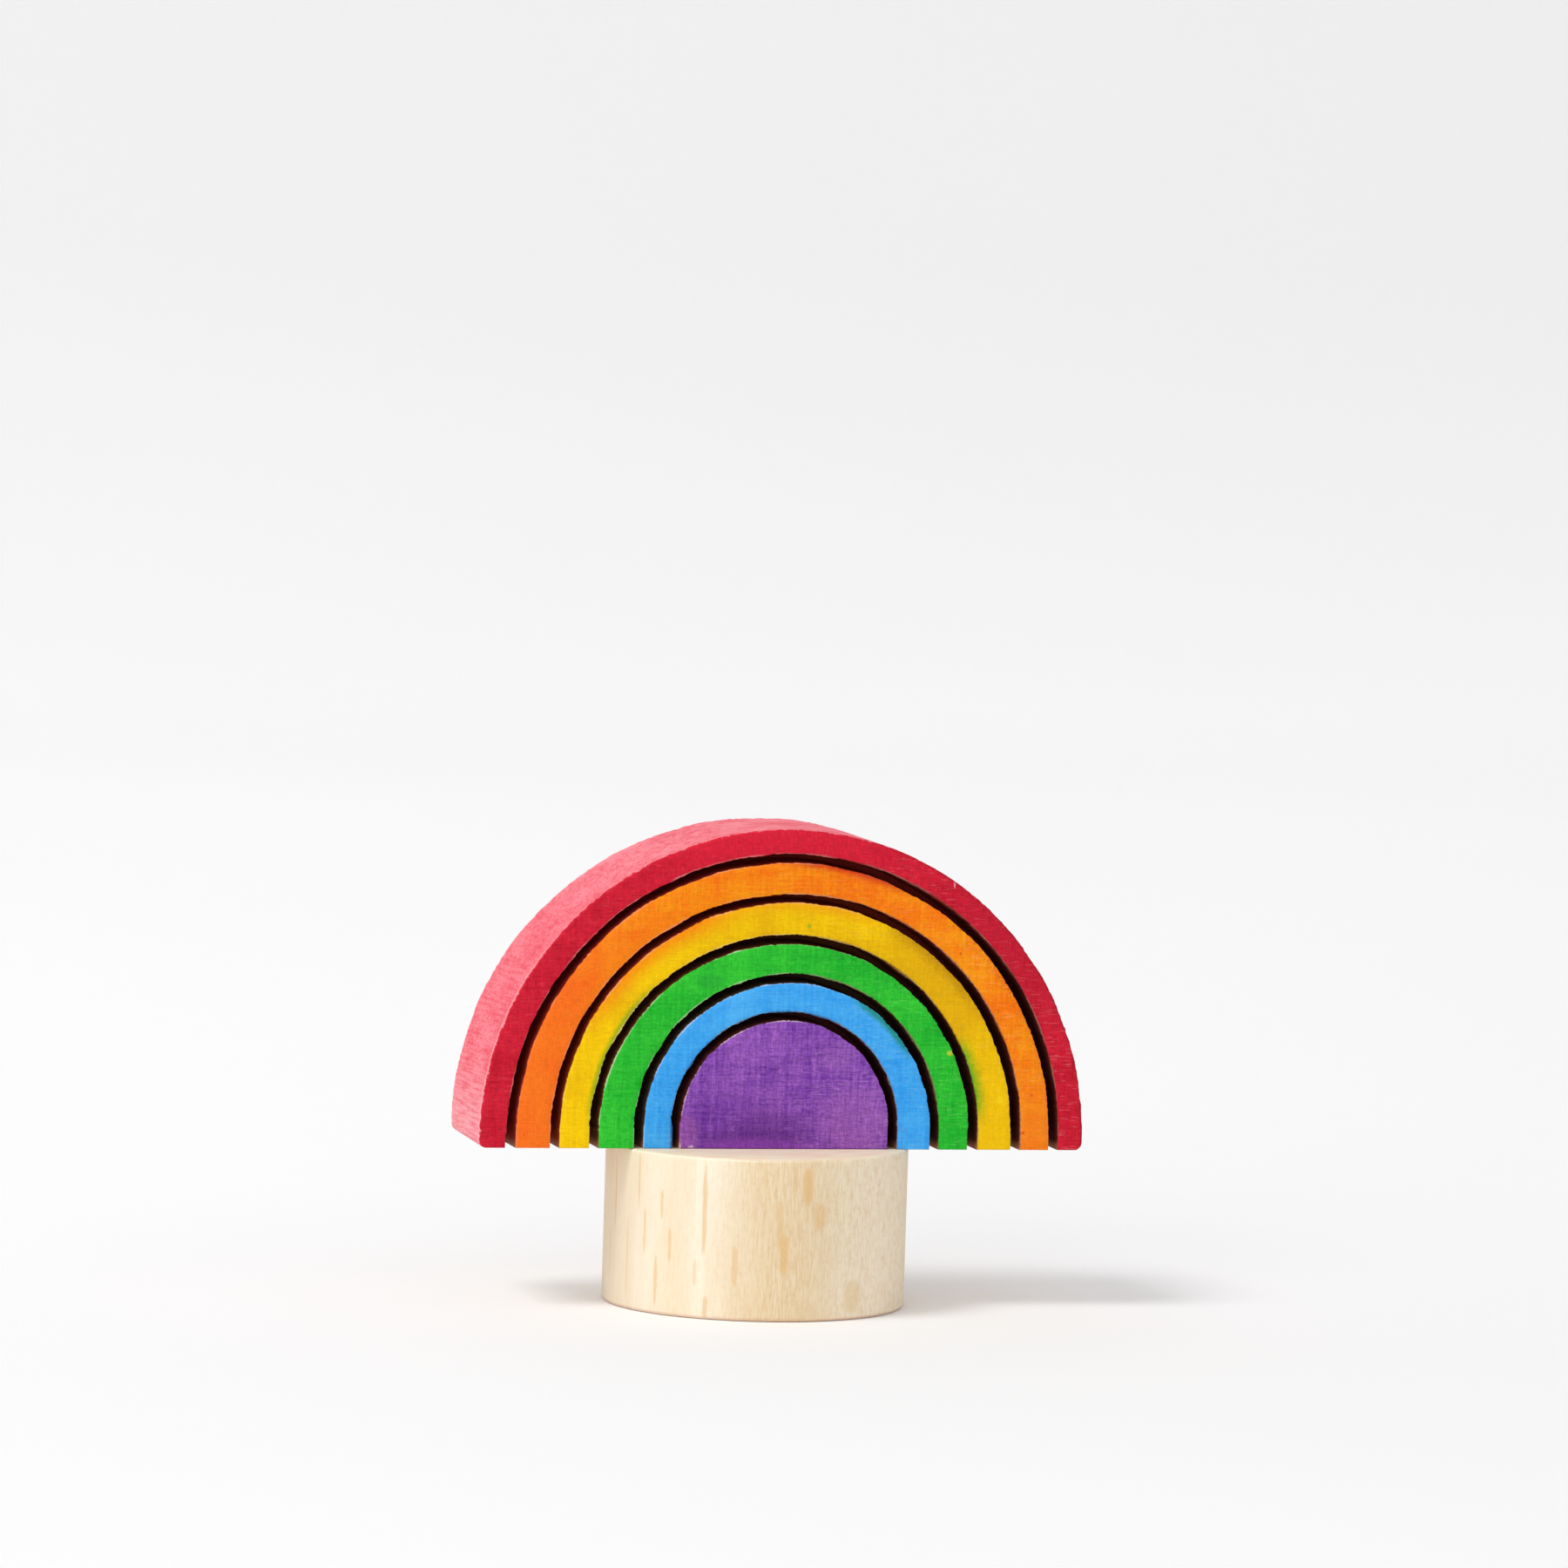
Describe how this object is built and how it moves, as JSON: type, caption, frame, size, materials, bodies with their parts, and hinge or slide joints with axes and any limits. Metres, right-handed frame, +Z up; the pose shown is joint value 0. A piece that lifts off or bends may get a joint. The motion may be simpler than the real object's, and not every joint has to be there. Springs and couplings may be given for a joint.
{
  "type": "rainbow plug ornament",
  "caption": "Half-round wooden rainbow board with burnt grooves between stained bands, glued upright on a short round plug that pushes into a hole or stands on a table.",
  "frame": {"origin": "centre of the plug's flat bottom face", "axes": "+Z up along the plug, the board's pictured front faces -Y, +X to the right as seen from the front"},
  "size_m": [0.0406, 0.02, 0.0316],
  "materials": {
    "stained_board": "thin water stain in rainbow bands, scorched grooves, light oil",
    "bare_wood": "bare sanded pale hardwood",
    "pin_wood": "bare pale hardwood rod"
  },
  "bodies": {
    "root": {"rainbow_board": "stained_board", "base_dowel": "bare_wood", "joint_pin": "pin_wood"}
  },
  "joints": []
}
